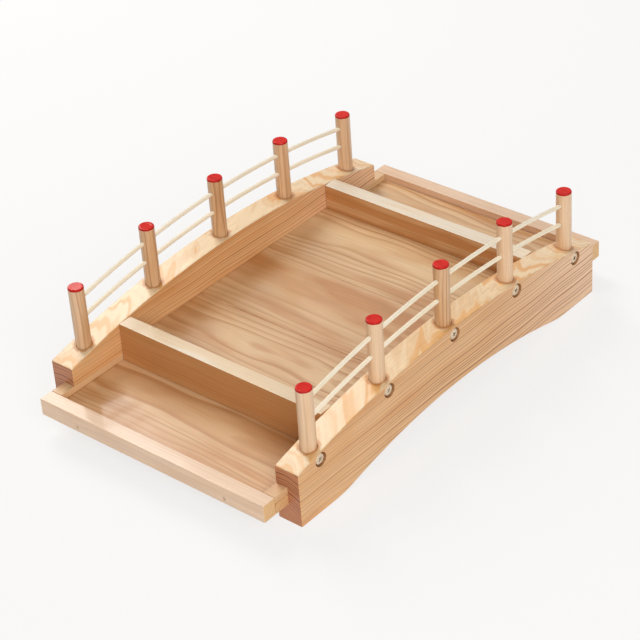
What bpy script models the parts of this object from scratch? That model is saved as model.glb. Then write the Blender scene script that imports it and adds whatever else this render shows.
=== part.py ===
# Arched wooden serving bridge: two side beams, a recessed deck, a shallow tray at each end,
# and a railing of dowel posts and bamboo rods along each beam.
# Metres, +Z up. X runs along the bridge from front to rear, the near beam is at -Y,
# and the origin is on the table under the middle of the bridge.

import math

import bmesh
import bpy
from mathutils import Matrix, Vector

# Side beams
BEAM_LENGTH = 0.368
BEAM_THICKNESS = 0.022
CLEAR_WIDTH = 0.2024        # between the beams' inner faces
END_COVER = 0.0155          # wood left above the tray housing at a beam's end
TOP_RISE = 0.0228           # of the arched top, middle above ends
FOOT_LENGTH = 0.049         # to where the foot's line and the arch would meet
FOOT_BEND_RADIUS = 0.085    # of the soft bend from the foot into the arch
ARCH_RISE = 0.0176          # of the arched underside between the feet
BEAM_EASE = 0.0008
HOUSING_DEPTH = 0.011       # how far floor, rim and deck boards enter the beams

# End trays
TRAY_OVERHANG = 0.026       # lip's outer face past the beam's end
TRAY_UNDERSIDE = 0.0162     # height above the table
LIP_WIDTH = 0.0124
LIP_HEIGHT = 0.0148
FLOOR_THICKNESS = 0.0088
BOARD_EASE = 0.0005

# Sills at both ends of the deck
SILL_INSET = 0.053          # sill's outer face from the beam's end
SILL_THICKNESS = 0.013

# Deck
WELL_DEPTH = 0.0218         # deck's top below the sills' tops
DECK_THICKNESS = 0.009
DECK_BOARD_COUNT = 3

# Railing posts
POST_COUNT = 5
POST_DIAMETER = 0.0125
POST_STANDING = 0.0523      # above the beam's top
POST_SEAT_DEPTH = 0.015
POST_CHAMFER = 0.0009
END_POST_INSET = 0.0252     # end post's axis from the beam's end

# Railing rods
ROD_DIAMETER = 0.0034
UPPER_ROD_DROP = 0.013      # below the post tops
ROD_SPACING = 0.017
ROD_END_SEAT = 0.008        # how far a rod's end enters an end post

# Post screws, sunk in counterbores in the beams' outer faces
SCREW_DROP = 0.007          # axis below the beam's top
SCREW_LENGTH = 0.0145
SCREW_SHANK_DIAMETER = 0.0035
SCREW_HEAD_DIAMETER = 0.009
SCREW_HEAD_THICKNESS = 0.0019
SCREW_HEAD_EASE = 0.0006
SCREW_POINT = 0.003
COUNTERBORE_DIAMETER = 0.0104
COUNTERBORE_DEPTH = 0.0029

# Lip nails
NAIL_END_DISTANCE = 0.038   # from the lip's end
NAIL_LENGTH = 0.030
NAIL_DIAMETER = 0.0016
NAIL_HEAD_DIAMETER = 0.0026
NAIL_HEAD_THICKNESS = 0.0008
NAIL_POINT = 0.002
NAIL_SINK = 0.0004

# Fits and facets
FIT_GAP = 0.0003            # between pieces that touch
CUT_MARGIN = 0.004          # how far a cutter runs past the face it opens
MERGE_DISTANCE = 0.00001
SMOOTH_ANGLE = math.radians(35)
EASE_SEGMENTS = 2
TOP_STEPS = 44
ARCH_STEPS = 32
BEND_STEPS = 4
POST_SIDES = 28
SCREW_SIDES = 20
NAIL_SIDES = 10
ROD_POINTS = 29
ROD_BEVEL_RESOLUTION = 3

# Heights above the table
RIM_TOP = TRAY_UNDERSIDE + LIP_HEIGHT
FLOOR_TOP = TRAY_UNDERSIDE + FLOOR_THICKNESS
BEAM_END_HEIGHT = RIM_TOP + END_COVER

# Places along the bridge, from its middle
BEAM_END = BEAM_LENGTH / 2
LIP_OUTER = BEAM_END + TRAY_OVERHANG
LIP_INNER = LIP_OUTER - LIP_WIDTH
SILL_OUTER = BEAM_END - SILL_INSET
SILL_INNER = SILL_OUTER - SILL_THICKNESS
END_POST = BEAM_END - END_POST_INSET
POST_PITCH = 2 * END_POST / (POST_COUNT - 1)
ROD_END = END_POST - POST_DIAMETER / 2 + ROD_END_SEAT

# Places across the bridge, from its middle
BEAM_INNER = CLEAR_WIDTH / 2
BEAM_OUTER = BEAM_INNER + BEAM_THICKNESS
BEAM_MIDDLE = (BEAM_INNER + BEAM_OUTER) / 2
HOUSING_END = BEAM_INNER + HOUSING_DEPTH
BOARD_END = HOUSING_END - FIT_GAP

# A screw's head rests on the floor of its counterbore
SCREW_SINK = COUNTERBORE_DEPTH - FIT_GAP - SCREW_HEAD_THICKNESS

# Turns that lay a piece made upright along another axis
UPRIGHT = Matrix()
ALONG_X = Matrix.Rotation(math.radians(90), 4, "Y")
ALONG_Y = Matrix.Rotation(math.radians(-90), 4, "X")


def arc_radius(half_span, rise):
    """Radius of the circle through an arc's two ends and its crown."""
    return (half_span ** 2 + rise ** 2) / (2 * rise)


def arc_height(x, half_span, rise):
    """Height of a circular arc above its two ends, at a distance x from its middle."""
    radius = arc_radius(half_span, rise)
    return math.sqrt(radius ** 2 - x ** 2) - (radius - rise)


def beam_top(x):
    """Height of a beam's arched top above the table."""
    return BEAM_END_HEIGHT + arc_height(x, BEAM_END, TOP_RISE)


SILL_TOP = beam_top((SILL_OUTER + SILL_INNER) / 2)
DECK_TOP = SILL_TOP - WELL_DEPTH
DECK_UNDERSIDE = DECK_TOP - DECK_THICKNESS
UPPER_ROD = POST_STANDING - UPPER_ROD_DROP
LOWER_ROD = UPPER_ROD - ROD_SPACING


def make_material(name, colour, roughness, metallic=0.0):
    """Principled material from an sRGB hex colour."""
    def linear(channel):
        return channel / 12.92 if channel <= 0.04045 else ((channel + 0.055) / 1.055) ** 2.4

    rgb = [linear(int(colour[i:i + 2], 16) / 255) for i in (0, 2, 4)]
    material = bpy.data.materials.new(name)
    material.use_nodes = True
    shader = material.node_tree.nodes["Principled BSDF"]
    shader.inputs["Base Color"].default_value = (*rgb, 1.0)
    shader.inputs["Roughness"].default_value = roughness
    shader.inputs["Metallic"].default_value = metallic
    return material


def mesh_from(bm, name):
    """Turn a bmesh into a mesh whose faces point out."""
    bmesh.ops.recalc_face_normals(bm, faces=bm.faces)
    mesh = bpy.data.meshes.new(name)
    bm.to_mesh(mesh)
    bm.free()
    return mesh


def box_mesh(name, size):
    """Box around its own centre."""
    bm = bmesh.new()
    bmesh.ops.create_cube(bm, size=1.0, matrix=Matrix.Diagonal((*size, 1.0)))
    return mesh_from(bm, name)


def extruded_mesh(name, outline, thickness):
    """Prism along Y, centred on it, from an outline of (x, z) points."""
    bm = bmesh.new()
    face = bm.faces.new([bm.verts.new((x, -thickness / 2, z)) for x, z in outline])
    swept = bmesh.ops.extrude_face_region(bm, geom=[face])["geom"]
    moved = [item for item in swept if isinstance(item, bmesh.types.BMVert)]
    bmesh.ops.translate(bm, verts=moved, vec=(0, thickness, 0))
    return mesh_from(bm, name)


def turned_mesh(name, profile, sides, turn=UPRIGHT, places=((0, 0, 0),)):
    """A solid of revolution at each of the places. The profile is a list of (radius, height) points
    that starts and ends on the axis, and the turn lays that axis along X or Y."""
    bm = bmesh.new()
    for place in places:
        known = set(bm.verts)
        verts = [bm.verts.new((radius, 0, height)) for radius, height in profile]
        edges = [bm.edges.new(pair) for pair in zip(verts, verts[1:])]
        bmesh.ops.spin(bm, geom=verts + edges, cent=(0, 0, 0), axis=(0, 0, 1),
                       angle=math.tau, steps=sides, use_merge=True)
        bmesh.ops.transform(bm, matrix=Matrix.Translation(place) @ turn, verts=list(set(bm.verts) - known))
    bmesh.ops.remove_doubles(bm, verts=bm.verts, dist=MERGE_DISTANCE)
    return mesh_from(bm, name)


def arched_curve(name, height, diameter, end):
    """Round curve that follows a beam's top at a given height above it."""
    curve = bpy.data.curves.new(name, "CURVE")
    curve.dimensions = "3D"
    curve.bevel_depth = diameter / 2
    curve.bevel_resolution = ROD_BEVEL_RESOLUTION
    curve.use_fill_caps = True
    spline = curve.splines.new("POLY")
    spline.points.add(ROD_POINTS - 1)
    spline.use_smooth = True
    for index, point in enumerate(spline.points):
        x = end * (2 * index / (ROD_POINTS - 1) - 1)
        point.co = (x, 0, beam_top(x) + height, 1.0)
    return curve


def shade_round(mesh):
    mesh.shade_smooth()
    mesh.set_sharp_from_angle(angle=SMOOTH_ANGLE)


def add_object(name, data, parent, place=(0, 0, 0)):
    obj = bpy.data.objects.new(name, data)
    bpy.context.scene.collection.objects.link(obj)
    obj.parent = parent
    obj.location = place
    return obj


def add_cutter(name, data, parent, place=(0, 0, 0)):
    """Helper that only shapes other pieces."""
    cutter = add_object(name, data, parent, place)
    cutter.hide_render = True
    cutter.display_type = "WIRE"
    return cutter


def ease_edges(obj, width):
    bevel = obj.modifiers.new("eased_edges", "BEVEL")
    bevel.width = width
    bevel.segments = EASE_SEGMENTS
    bevel.limit_method = "ANGLE"
    bevel.angle_limit = SMOOTH_ANGLE


def cut_with(obj, cutters):
    for cutter in cutters:
        boolean = obj.modifiers.new(cutter.name, "BOOLEAN")
        boolean.operation = "DIFFERENCE"
        boolean.solver = "EXACT"
        boolean.object = cutter


def between(low, high):
    """Size and centre of the box between two corners."""
    low = Vector(low)
    high = Vector(high)
    return high - low, (low + high) / 2


def add_board(name, low, high, parent, material):
    """Board with eased edges between two corners."""
    size, centre = between(low, high)
    board = add_object(name, box_mesh(name, size), parent, centre)
    board.data.materials.append(material)
    ease_edges(board, BOARD_EASE)
    return board


def post_places():
    """Where each post's axis meets the beam's top, in a side's own frame."""
    xs = [POST_PITCH * index - END_POST for index in range(POST_COUNT)]
    return [Vector((x, -BEAM_MIDDLE, beam_top(x))) for x in xs]


def screw_places():
    """Where each screw's axis meets the beam's outer face, in a side's own frame."""
    return [Vector((place.x, -BEAM_OUTER, place.z - SCREW_DROP)) for place in post_places()]


def foot_bend():
    """Points of the bend from the flat foot into the arch: an arc that touches both."""
    reach = arc_radius(BEAM_END - FOOT_LENGTH, ARCH_RISE) + FOOT_BEND_RADIUS
    start = math.sqrt(reach ** 2 - (reach - ARCH_RISE) ** 2)
    turns = [math.asin(start / reach) * step / BEND_STEPS for step in range(BEND_STEPS + 1)]
    return [(start - FOOT_BEND_RADIUS * math.sin(turn), FOOT_BEND_RADIUS * (1 - math.cos(turn)))
            for turn in turns]


def beam_outline():
    """Side view of a beam: arched top, square ends, flat feet and arched underside."""
    half_arch = BEAM_END - FOOT_LENGTH
    outline = []
    for step in range(TOP_STEPS + 1):
        x = BEAM_END * (1 - 2 * step / TOP_STEPS)
        outline.append((x, beam_top(x)))

    bend = foot_bend()
    arch_end = bend[-1][0]
    outline.append((-BEAM_END, 0))
    outline += [(-x, z) for x, z in bend]
    for step in range(1, ARCH_STEPS):
        x = arch_end * (2 * step / ARCH_STEPS - 1)
        outline.append((x, arc_height(x, half_arch, ARCH_RISE)))
    outline += bend[::-1]
    outline.append((BEAM_END, 0))
    return outline


def housing_cutters(prefix, side):
    """Housings in a beam's inner face for both trays and the deck."""
    outer = -HOUSING_END
    inner = -BEAM_INNER + CUT_MARGIN
    tray_end = BEAM_END + CUT_MARGIN
    tray_stop = SILL_INNER - FIT_GAP
    tray_low = TRAY_UNDERSIDE - FIT_GAP
    tray_high = RIM_TOP + FIT_GAP
    corners = {
        "front_tray": ((-tray_end, outer, tray_low), (-tray_stop, inner, tray_high)),
        "rear_tray": ((tray_stop, outer, tray_low), (tray_end, inner, tray_high)),
        "deck": ((-SILL_INNER, outer, DECK_UNDERSIDE - FIT_GAP), (SILL_INNER, inner, DECK_TOP + FIT_GAP)),
    }
    cutters = []
    for name, (low, high) in corners.items():
        size, centre = between(low, high)
        cutters.append(add_cutter(f"{prefix}_{name}_housing", box_mesh(name, size), side, centre))
    return cutters


def socket_cutter(prefix, side):
    """Blind sockets for the posts' feet."""
    radius = POST_DIAMETER / 2 + FIT_GAP
    foot = -POST_SEAT_DEPTH - FIT_GAP
    profile = [(0, foot), (radius, foot), (radius, CUT_MARGIN), (0, CUT_MARGIN)]
    mesh = turned_mesh("post_sockets", profile, POST_SIDES, places=post_places())
    return add_cutter(f"{prefix}_post_sockets", mesh, side)


def screw_hole_cutter(prefix, side):
    """Counterbores in a beam's outer face and the screws' holes on into the posts' feet."""
    mouth = COUNTERBORE_DIAMETER / 2
    shank = SCREW_SHANK_DIAMETER / 2 + FIT_GAP
    end = SCREW_SINK + SCREW_LENGTH + FIT_GAP
    profile = [(0, -CUT_MARGIN), (mouth, -CUT_MARGIN), (mouth, COUNTERBORE_DEPTH), (shank, COUNTERBORE_DEPTH),
               (shank, end), (0, end)]
    mesh = turned_mesh("screw_holes", profile, SCREW_SIDES, ALONG_Y, screw_places())
    return add_cutter(f"{prefix}_screw_holes", mesh, side)


def build_beam(prefix, side, screw_holes):
    mesh = extruded_mesh(f"{prefix}_beam", beam_outline(), BEAM_THICKNESS)
    mesh.materials.append(pine)
    beam = add_object(f"{prefix}_beam", mesh, side, (0, -BEAM_MIDDLE, 0))
    ease_edges(beam, BEAM_EASE)
    cut_with(beam, [*housing_cutters(prefix, side), socket_cutter(prefix, side), screw_holes])


def build_rods(prefix, side):
    """Two rods along the arch. Returns the cutters of their holes through the posts."""
    cutters = []
    for level, height in (("upper", UPPER_ROD), ("lower", LOWER_ROD)):
        name = f"{prefix}_{level}_rod"
        place = (0, -BEAM_MIDDLE, 0)
        rod = arched_curve(name, height, ROD_DIAMETER, ROD_END)
        rod.materials.append(bamboo)
        add_object(name, rod, side, place)

        hole = arched_curve(f"{name}_hole", height, ROD_DIAMETER + 2 * FIT_GAP, ROD_END + FIT_GAP)
        guide = add_object(f"{name}_guide", hole, side, place)
        evaluated = guide.evaluated_get(bpy.context.evaluated_depsgraph_get())
        hole_mesh = bpy.data.meshes.new_from_object(evaluated)
        bpy.data.objects.remove(guide)
        cutters.append(add_cutter(f"{name}_holes", hole_mesh, side, place))
    return cutters


def build_posts(prefix, side, numbers, cutters):
    """Dowels with painted tops, each in its socket and with the rods through it."""
    radius = POST_DIAMETER / 2
    paint_line = POST_STANDING - POST_CHAMFER
    profile = [(0, -POST_SEAT_DEPTH), (radius, -POST_SEAT_DEPTH), (radius, paint_line),
               (radius - POST_CHAMFER, POST_STANDING), (0, POST_STANDING)]
    mesh = turned_mesh(f"{prefix}_post", profile, POST_SIDES)
    mesh.materials.append(dowel)
    mesh.materials.append(red_paint)
    for polygon in mesh.polygons:
        polygon.material_index = int(polygon.center.z > paint_line)
    shade_round(mesh)
    for number, place in zip(numbers, post_places()):
        post = add_object(f"{prefix}_post_{number}", mesh, side, place)
        cut_with(post, cutters)


def build_screws(prefix, side, numbers):
    head = SCREW_HEAD_DIAMETER / 2
    shank = SCREW_SHANK_DIAMETER / 2
    profile = [(0, 0), (head - SCREW_HEAD_EASE, 0), (head, SCREW_HEAD_EASE), (head, SCREW_HEAD_THICKNESS),
               (shank, SCREW_HEAD_THICKNESS), (shank, SCREW_LENGTH - SCREW_POINT), (0, SCREW_LENGTH)]
    mesh = turned_mesh(f"{prefix}_post_screw", profile, SCREW_SIDES, ALONG_Y)
    mesh.materials.append(zinc_steel)
    shade_round(mesh)
    for number, place in zip(numbers, screw_places()):
        add_object(f"{prefix}_post_screw_{number}", mesh, side, place + Vector((0, SCREW_SINK, 0)))


def build_side(prefix, turn, numbers):
    """A beam with its railing, in the near side's frame, turned about Z into place."""
    side = add_object(f"{prefix}_side", None, bridge)
    side.rotation_euler.z = turn
    screw_holes = screw_hole_cutter(prefix, side)
    build_beam(prefix, side, screw_holes)
    rod_holes = build_rods(prefix, side)
    build_posts(prefix, side, numbers, [*rod_holes, screw_holes])
    build_screws(prefix, side, numbers)


def build_nails(prefix, end, sides):
    """Nails through the lip into the floor's edge. Returns the cutter of their holes."""
    y = BOARD_END - NAIL_END_DISTANCE
    z = TRAY_UNDERSIDE + FLOOR_THICKNESS / 2
    places = [Vector((-LIP_OUTER, -y, z)), Vector((-LIP_OUTER, y, z))]

    head = NAIL_HEAD_DIAMETER / 2
    shank = NAIL_DIAMETER / 2
    profile = [(0, 0), (head, 0), (head, NAIL_HEAD_THICKNESS), (shank, NAIL_HEAD_THICKNESS),
               (shank, NAIL_LENGTH - NAIL_POINT), (0, NAIL_LENGTH)]
    mesh = turned_mesh(f"{prefix}_lip_nail", profile, NAIL_SIDES, ALONG_X)
    mesh.materials.append(bright_steel)
    shade_round(mesh)
    for side_name, place in zip(sides, places):
        add_object(f"{prefix}_lip_nail_{side_name}", mesh, end, place + Vector((NAIL_SINK, 0, 0)))

    seat = NAIL_SINK + NAIL_HEAD_THICKNESS + FIT_GAP
    hole_end = NAIL_SINK + NAIL_LENGTH + FIT_GAP
    hole = [(0, -CUT_MARGIN), (head + FIT_GAP, -CUT_MARGIN), (head + FIT_GAP, seat), (shank + FIT_GAP, seat),
            (shank + FIT_GAP, hole_end), (0, hole_end)]
    hole_mesh = turned_mesh("nail_holes", hole, NAIL_SIDES, ALONG_X, places)
    return add_cutter(f"{prefix}_nail_holes", hole_mesh, end)


def build_end(prefix, turn, sides):
    """A tray and the sill behind it, in the front end's frame, turned about Z into place."""
    end = add_object(f"{prefix}_end", None, bridge)
    end.rotation_euler.z = turn
    nail_holes = build_nails(prefix, end, sides)

    lip = add_board(f"{prefix}_lip", (-LIP_OUTER, -BOARD_END, TRAY_UNDERSIDE),
                    (-LIP_INNER, BOARD_END, RIM_TOP), end, pine)
    cut_with(lip, [nail_holes])

    front = -LIP_INNER + FIT_GAP
    floor = add_board(f"{prefix}_tray_floor", (front, -BOARD_END, TRAY_UNDERSIDE),
                      (-SILL_INNER, BOARD_END, FLOOR_TOP), end, pine)
    cut_with(floor, [nail_holes])

    seat = FLOOR_TOP + FIT_GAP
    strip_spans = ((-BOARD_END, -BEAM_INNER), (BEAM_INNER, BOARD_END))
    for side_name, (low_y, high_y) in zip(sides, strip_spans):
        add_board(f"{prefix}_rim_strip_{side_name}", (front, low_y, seat),
                  (-SILL_INNER, high_y, RIM_TOP), end, pine)

    sill_end = BEAM_INNER - FIT_GAP
    add_board(f"{prefix}_sill", (-SILL_OUTER, -sill_end, seat), (-SILL_INNER, sill_end, SILL_TOP), end, pine)


def build_deck():
    """Boards laid across the bridge edge to edge between the sills, housed in both beams."""
    start = -SILL_INNER + FIT_GAP
    pitch = (2 * SILL_INNER - FIT_GAP) / DECK_BOARD_COUNT
    for index in range(DECK_BOARD_COUNT):
        low_x = start + pitch * index
        add_board(f"deck_board_{index + 1}", (low_x, -BOARD_END, DECK_UNDERSIDE),
                  (low_x + pitch - FIT_GAP, BOARD_END, DECK_TOP), bridge, pine)


for leftover in list(bpy.data.objects):
    bpy.data.objects.remove(leftover)

pine = make_material("pine", "D9AE82", 0.6)
dowel = make_material("beech_dowel", "E3BC92", 0.55)
red_paint = make_material("red_paint", "D81E28", 0.35)
bamboo = make_material("bamboo", "EEE2BE", 0.5)
zinc_steel = make_material("zinc_plated_steel", "B9B7AE", 0.35, 1.0)
bright_steel = make_material("bright_steel", "A9A7A2", 0.4, 1.0)

bridge = add_object("bridge", None, None)
front_to_rear = list(range(1, POST_COUNT + 1))
build_side("near", 0.0, front_to_rear)
build_side("far", math.pi, front_to_rear[::-1])
build_end("front", 0.0, ("near", "far"))
build_end("rear", math.pi, ("far", "near"))
build_deck()
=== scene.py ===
import math

import bmesh
import bpy
from mathutils import Matrix, Vector, noise


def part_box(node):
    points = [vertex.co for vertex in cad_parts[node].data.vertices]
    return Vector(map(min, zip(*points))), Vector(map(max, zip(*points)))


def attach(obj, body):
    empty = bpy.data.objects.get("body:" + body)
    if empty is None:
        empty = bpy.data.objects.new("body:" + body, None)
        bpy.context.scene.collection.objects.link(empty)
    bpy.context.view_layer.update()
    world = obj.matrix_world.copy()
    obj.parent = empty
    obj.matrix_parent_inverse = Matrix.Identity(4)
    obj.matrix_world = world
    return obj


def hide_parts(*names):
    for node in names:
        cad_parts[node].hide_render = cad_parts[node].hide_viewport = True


# Sushi bridge: planed pine under a thin clear lacquer, dowel posts with red tops, bamboo rods.
# Metres, X along the bridge to its rear end, near beam at -Y, Z up.

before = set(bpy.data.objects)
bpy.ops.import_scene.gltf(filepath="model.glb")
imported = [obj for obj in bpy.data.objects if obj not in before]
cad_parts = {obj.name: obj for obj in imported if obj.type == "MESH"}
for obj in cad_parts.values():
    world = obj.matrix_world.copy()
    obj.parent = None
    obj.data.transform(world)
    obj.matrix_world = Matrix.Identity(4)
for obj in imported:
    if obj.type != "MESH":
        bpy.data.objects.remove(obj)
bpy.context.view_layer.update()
print("frame loaded:", len(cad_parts), "nodes")

mm = 0.001
weldDistance = 0.02 * mm
cutOver = 0.5 * mm          # how far a cutting tool stands out of the face that it cuts


def hexColour(code):
    def linear(channel):
        return channel / 12.92 if channel <= 0.04045 else ((channel + 0.055) / 1.055) ** 2.4

    return (*(linear(int(code[i:i + 2], 16) / 255) for i in (0, 2, 4)), 1.0)


def addNode(tree, kind, inputs=None, stops=(), **settings):
    node = tree.nodes.new(kind)
    for key, value in settings.items():
        setattr(node, key, value)
    for socket, value in (inputs or {}).items():
        if isinstance(value, bpy.types.NodeSocket):
            tree.links.new(value, node.inputs[socket])
        else:
            node.inputs[socket].default_value = value
    for i, (position, level) in enumerate(stops):       # grey stops, in rising order
        elements = node.color_ramp.elements
        element = elements[i] if i < len(elements) else elements.new(position)
        element.position = position
        element.color = (level, level, level, 1.0)
    return node


def newMaterial(name):
    material = bpy.data.materials.new(name)
    material.use_nodes = True
    material.node_tree.nodes.clear()
    return material, material.node_tree


# Sizes read from the frame

postNumbers = (1, 2, 3, 4, 5)
outward = {"near": -1.0, "far": 1.0, "front": -1.0, "rear": 1.0}       # the way each side looks


def boxMiddle(node):
    return [(low + high) / 2 for low, high in zip(*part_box(node))]


def outerFace(node, side, axis):
    low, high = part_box(node)
    return low[axis] if outward[side] < 0 else high[axis]


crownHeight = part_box("near_beam")[1].z
beamMiddle = -boxMiddle("near_beam")[1]
midPostLow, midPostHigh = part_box("near_post_3")
postRadius = (midPostHigh.x - midPostLow.x) / 2
postLength = midPostHigh.z - midPostLow.z
endPostX = -boxMiddle("near_post_1")[0]
postPitch = endPostX / 2
archDrop = midPostHigh.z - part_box("near_post_1")[1].z
archRadius = (endPostX ** 2 + archDrop ** 2) / (2 * archDrop)


def archTop(x):
    return crownHeight - archRadius + math.sqrt(archRadius ** 2 - x ** 2)


# Materials
# On a Mix node for colours, inputs 0, 6 and 7 are the factor and both colours, and output 2 is the result.

grainTurns = {"X": (0, 0, 0), "Y": (0, 0, -math.pi / 2), "Z": (0, math.pi / 2, 0)}
grainAxes = {"X": (1, 0, 0), "Y": (0, 1, 0), "Z": (0, 0, 1)}

# what all the pine shares: sizes in mm along the grain and both ways across it
pine = {
    "slowWave": (240, 60, 60),
    "shortWave": (60, 18, 45),
    "fibre": (45, 0.9, 0.9),        # drawn coarser than real fibres so that they show
    "cloud": (90, 22, 22),
    # a year: pale spring wood that darkens slowly, then stops at once
    "year": ((0.0, 0.0), (0.3, 0.05), (0.58, 0.3), (0.8, 1.0), (0.93, 0.9), (1.0, 0.0)),
    "yearStrength": {"To Min": 0.3, "To Max": 1.0},
    "runYears": 4,                  # wide and narrow years come in runs of about this many
    "runShift": 2.4,                # years by which a run shifts the rings
    "clarityReach": 100,            # mm from the tree's heart at the last stop of clarity
    "topFacing": {"From Min": 0.4, "From Max": 0.7},        # upward part of the normal, side to top
    "endFacing": {"From Min": 0.55, "From Max": 0.9},       # part of the normal along the grain
    "rosyCloud": {"From Min": 0.45, "From Max": 0.85},
    "rosyRun": {"From Min": 0.45, "From Max": 0.7},
    "fibreLevels": {"From Min": 0.25, "From Max": 0.75},
    "fibreLift": 0.4,               # how far pale fibres lift the colour, of what dark ones take
    "relief": 0.6,                  # how far summer wood stands out of the planed face, of a fibre
    "roughness": {"To Min": 0.46, "To Max": 0.38},          # spring and summer wood
    "thirst": 0.6,                  # how much of the coat summer wood drinks
    "thirstyCoat": 0.12,            # coat that is left where the wood drinks most
}

boardPine = {
    "grain": "Y",
    "ringWidth": 3.4,
    "wander": 8.0,
    "ripple": 1.8,
    "clarity": ((0.0, 0.8), (1.0, 0.8)),    # how clearly the rings show, from the tree's heart outwards
    "toneLines": (1.0, 1.0),                # how clearly they show on a pale and on a rosy piece
    "early": "EBC89A",
    "late": "BC8048",
    "blush": "CA8E56",
    "endEarly": "E0B27E",
    "endLate": "BE8A56",
    "endFrom": 111,                         # mm along the grain from the middle, where the sawn ends begin
    "bands": 0.7,                           # how far runs of darker years go over to the rosy colour
    "fibre": 0.14,
    "lacquer": (0.3, 0.4),                  # coat on upright faces and on tops, where it pools
}

beamPine = {
    **boardPine,
    "grain": "X",
    "ringWidth": 2.5,
    "wander": 4.0,
    "clarity": ((0.0, 0.12), (0.17, 0.15), (0.24, 1.0), (0.42, 1.1), (0.6, 0.9), (1.0, 0.7)),
    "early": "EEBE88",
    "late": "9E5820",
    "blush": "E0A468",
    "endEarly": "C8865F",
    "endLate": "602A15",
    "endFrom": 183,
    "lacquer": (0.35, 0.35),
    "fade": (-150, -20, 0.5),       # mm along X between which faint rings grow clear, and how clear at first
    # painted sheen: the wood turns paler towards the rear end
    "paler": (40, 170, "FAD2AC"),   # mm along X over which the wood turns paler, and its colour there
    # glue stain round the posts, with a painted reflection of the posts in the lacquer: size and reach of
    # its runs, and where it ends, in mm from the post's wall
    "glue": {"colour": "BE7A38", "blot": 4, "reach": 5.0, "full": -1.6, "gone": 1.0, "shown": 0.8},
    # flat sawn top: broad golden tongues on cream, sizes in mm; the pale cream is partly painted sheen of
    # the lacquer on the top
    "flames": {
        "springAndSheen": "F5DCB4", "summer": "EAB068", "shown": 0.85, "length": 70, "width": 8, "ragged": 4.5,
        "slant": math.radians(38), "years": 2.8, "rings": 0.4,
        "broad": {"From Min": 0.44, "From Max": 0.66, "To Max": 0.85}},
}


def heartDistance(tree, wood, place, onTop):
    # mm from the tree's heart, bent by slow waves and short ripples
    slow = addNode(tree, "ShaderNodeVectorMath", {0: place, 1: pine["slowWave"]}, operation="DIVIDE")
    drift = addNode(tree, "ShaderNodeTexNoise", {
        "Vector": slow.outputs[0], "Scale": 1.0, "Detail": 2.0})
    centred = addNode(tree, "ShaderNodeVectorMath", {
        0: drift.outputs["Color"], 1: (0.5, 0.5, 0.5)}, operation="SUBTRACT")
    bent = addNode(tree, "ShaderNodeVectorMath", {
        0: centred.outputs[0], 1: (0, wood["wander"], wood["wander"]), 2: place}, operation="MULTIPLY_ADD")
    flat = addNode(tree, "ShaderNodeVectorMath", {
        0: bent.outputs[0], 1: (0, 1, 1)}, operation="MULTIPLY")
    straight = addNode(tree, "ShaderNodeVectorMath", {0: flat.outputs[0]}, operation="LENGTH")
    short = addNode(tree, "ShaderNodeVectorMath", {0: place, 1: pine["shortWave"]}, operation="DIVIDE")
    ripple = addNode(tree, "ShaderNodeTexNoise", {
        "Vector": short.outputs[0], "Scale": 1.0, "Detail": 0.0})
    radius = addNode(tree, "ShaderNodeMath", {
        0: ripple.outputs[0], 1: 2 * wood["ripple"], 2: straight.outputs["Value"]},
        operation="MULTIPLY_ADD")
    if "flames" in wood:        # on a flat sawn top the rings run out in ragged slanting tongues
        flame = wood["flames"]
        slant = addNode(tree, "ShaderNodeMapping", {
            "Vector": place, "Rotation": (0, 0, flame["slant"]),
            "Scale": (flame["length"], flame["width"], flame["length"])}, vector_type="TEXTURE")
        tongues = addNode(tree, "ShaderNodeTexNoise", {
            "Vector": slant.outputs[0], "Scale": 1.0, "Detail": 1.0})
        ragged = addNode(tree, "ShaderNodeMath", {
            0: tongues.outputs[0], 1: onTop}, operation="MULTIPLY")
        radius = addNode(tree, "ShaderNodeMath", {
            0: ragged.outputs[0], 1: flame["ragged"], 2: radius.outputs[0]}, operation="MULTIPLY_ADD")
    return radius.outputs[0], bent.outputs[0]


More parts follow.
